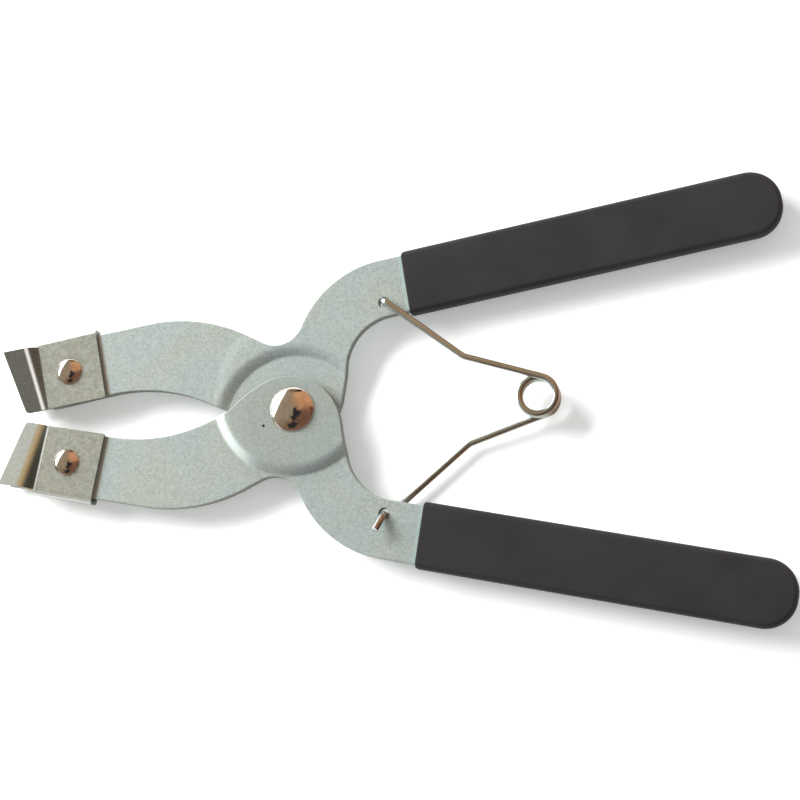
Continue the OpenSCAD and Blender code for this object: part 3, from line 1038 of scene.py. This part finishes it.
# Painted light: pale blue where the wire faces left, a brown painted reflection where it faces
# right.
colour = nodes.mix(nodes.fade(facing_for_painted_light, -0.1, -0.5), colour, (0.72, 0.80, 0.84, 1))
colour = nodes.mix(nodes.fade(facing_for_painted_light, 0.2, 0.6), colour, (0.30, 0.22, 0.15, 1))
specks = nodes.fade(mottle["Crystals"], 0.5, 0.7)
colour = nodes.tint(colour, specks, 0.15, (0.30, 0.24, 0.17, 1))
roughness = nodes.graded(mottle["Crystals"], 0.1, 0.14)
connect(nodes, shader, colour, roughness, mottle["Crystals"], 0.01, 0.5)
spring.data.materials.append(wire_metal)

# %% [markdown]
# Cured vinyl is matt, nearly black, and faintly dimpled. It scatters little light, so the base is
# dark, the shine is broad and weak, and a low bump gives the skin of a dipped surface.

# %% Dipped vinyl
vinyl, nodes, shader, place, normal = new_material("dipped_vinyl", Metallic=0.0,
                                                   Specular_IOR_Level=0.3)
mottle = mottled(nodes, place, 0.7, 14.0)
colour = nodes.mix(nodes.fade(mottle["Clouds"], 0.3, 0.7), (0.026, 0.025, 0.026, 1),
                   (0.031, 0.030, 0.032, 1))
roughness = nodes.graded(mottle["Clouds"], 0.15, 0.5)
height = nodes.math("ADD", mottle["Crystals"], nodes.math("MULTIPLY", mottle["Clouds"], 2.0))
connect(nodes, shader, colour, roughness, height, 0.03, 0.5)
for sleeve in sleeves.values():
    sleeve.data.materials.append(vinyl)

# %% [markdown]
# The tool lies on a pale table that is lit so brightly that only the deepest shadows show. A
# wide window to the upper left is the main light, and an even sky fills the rest. Polished metal
# mirrors the room instead: its bright window, its tan and brown walls, and a few dark things.

# %% Table, light and camera
material, nodes, shader, place, normal = new_material("pale_table", Roughness=0.9)
shader.inputs["Base Color"].default_value = (0.95, 0.95, 0.95, 1)
shader.inputs["Emission Strength"].default_value = 0.2
straight = nodes.add("ShaderNodeLightPath").outputs["Is Camera Ray"]
nodes.tree.links.new(straight, shader.inputs["Emission Color"])
floor_z = cad_box[0][2] - 0.2 * MM
table_mesh = bpy.data.meshes.new("table")
half = 2.0
table_mesh.from_pydata([(-half, -half, floor_z), (half, -half, floor_z), (half, half, floor_z),
                        (-half, half, floor_z)], [], [(0, 1, 2, 3)])
table_mesh.materials.append(material)
table = bpy.data.objects.new("table", table_mesh)
scene.collection.objects.link(table)


def soft_light(name, place, target, width, height, power):
    """A rectangular light that faces a target."""
    data = bpy.data.lights.new(name, "AREA")
    data.shape = "RECTANGLE"
    data.size = width
    data.size_y = height
    data.energy = power
    lamp = bpy.data.objects.new(name, data)
    lamp.location = place
    lamp.rotation_euler = (Vector(target) - Vector(place)).to_track_quat("-Z", "Y").to_euler()
    scene.collection.objects.link(lamp)
    return lamp


window = soft_light("window_light", (-0.57, 0.40, 0.46), (0.02, 0, 0), 0.62, 0.36, 15.0)
window.visible_glossy = False

world = bpy.data.worlds.new("room")
scene.world = world
world.use_nodes = True
room = Nodes(world.node_tree)
background = world.node_tree.nodes["Background"]
looking = room.add("ShaderNodeTexCoord").outputs["Generated"]
ripple = room.add("ShaderNodeTexNoise", {"Scale": 2.6, "Detail": 2.0}, {"Vector": looking})
offset = room.add("ShaderNodeVectorMath", {1: (0.5, 0.5, 0.5)}, {0: ripple.outputs["Color"]},
                  operation="SUBTRACT").outputs[0]
uneven = room.add("ShaderNodeVectorMath", {1: (0.32, 0.32, 0.32)},
                  {0: offset, 2: looking}, operation="MULTIPLY_ADD").outputs[0]


def toward_way(direction, low, high, vector=uneven):
    """How much a direction in the room points one way, from 0 to 1."""
    share = room.add("ShaderNodeVectorMath", {1: direction}, {0: vector},
                     operation="DOT_PRODUCT").outputs["Value"]
    return room.fade(share, low, high)


DARK_THING = (0.03, 0.028, 0.03, 1)
mirrored = (0.35, 0.28, 0.20, 1)
for direction, low, high, colour in (
        ((0.80, 0.50, 0.35), 0.3, 0.9, (0.60, 0.30, 0.15, 1)),
        ((0.40, 0.85, 0.20), 0.7, 0.95, (0.66, 0.36, 0.19, 1)),
        ((0.60, -0.75, 0.25), 0.25, 0.75, (0.20, 0.10, 0.06, 1)),
        ((-0.20, -0.97, 0.15), 0.6, 0.95, (0.22, 0.13, 0.08, 1)),
        ((0.98, -0.05, 0.10), 0.93, 0.99, (0.16, 0.05, 0.03, 1)),
        ((0.22, -0.22, 0.95), 0.972, 0.992, DARK_THING),
        ((-0.50, -0.80, 0.33), 0.985, 0.996, DARK_THING),
        ((-0.20, -0.80, 0.56), 0.982, 0.994, DARK_THING),
        ((0.08, -0.72, 0.69), 0.978, 0.99, DARK_THING),
        ((0.30, -0.62, 0.72), 0.985, 0.996, DARK_THING),
        ((-0.05, 0.98, 0.12), 0.955, 0.985, (0.05, 0.04, 0.03, 1))):
    mirrored = room.mix(toward_way(direction, low, high), mirrored, colour)
glare = toward_way((-0.876, 0.450, -0.176), 0.74, 0.81, looking)
room_colour = room.mix(glare, mirrored, (4.0, 4.1, 4.2, 1))
path = room.add("ShaderNodeLightPath").outputs
even = room.mix(path["Is Glossy Ray"], (0.505, 0.52, 0.50, 1), room_colour)
seen = room.mix(path["Is Camera Ray"], even, (0.97, 0.97, 0.97, 1))
room.tree.links.new(seen, background.inputs["Color"])

CAMERA_TARGET = Vector((29.29 * MM, 2.01 * MM, MID_Z))
CAMERA_DISTANCE = 0.45
LENS_MM = 74.93
TILT_DOWN = radians(9.779)
TILT_RIGHT = radians(10.254)
ROLL = radians(0.134)
toward = Vector((sin(TILT_RIGHT), -sin(TILT_DOWN) * cos(TILT_RIGHT),
                 cos(TILT_DOWN) * cos(TILT_RIGHT)))
lens_data = bpy.data.cameras.new("camera")
lens_data.sensor_width = 36
lens_data.lens = LENS_MM
lens_data.clip_start = 0.01
camera = bpy.data.objects.new("camera", lens_data)
up = (Vector((0, 1, 0)) - toward * toward.y).normalized()
right = up.cross(toward)
turned_right = right * cos(ROLL) - up * sin(ROLL)
turned_up = right * sin(ROLL) + up * cos(ROLL)
camera.matrix_world = Matrix((
    (turned_right.x, turned_up.x, toward.x, CAMERA_TARGET.x + toward.x * CAMERA_DISTANCE),
    (turned_right.y, turned_up.y, toward.y, CAMERA_TARGET.y + toward.y * CAMERA_DISTANCE),
    (turned_right.z, turned_up.z, toward.z, CAMERA_TARGET.z + toward.z * CAMERA_DISTANCE),
    (0, 0, 0, 1)))
scene.collection.objects.link(camera)
scene.camera = camera
scene.view_settings.view_transform = "Standard"
print("camera at", [round(value / MM, 1) for value in camera.location])
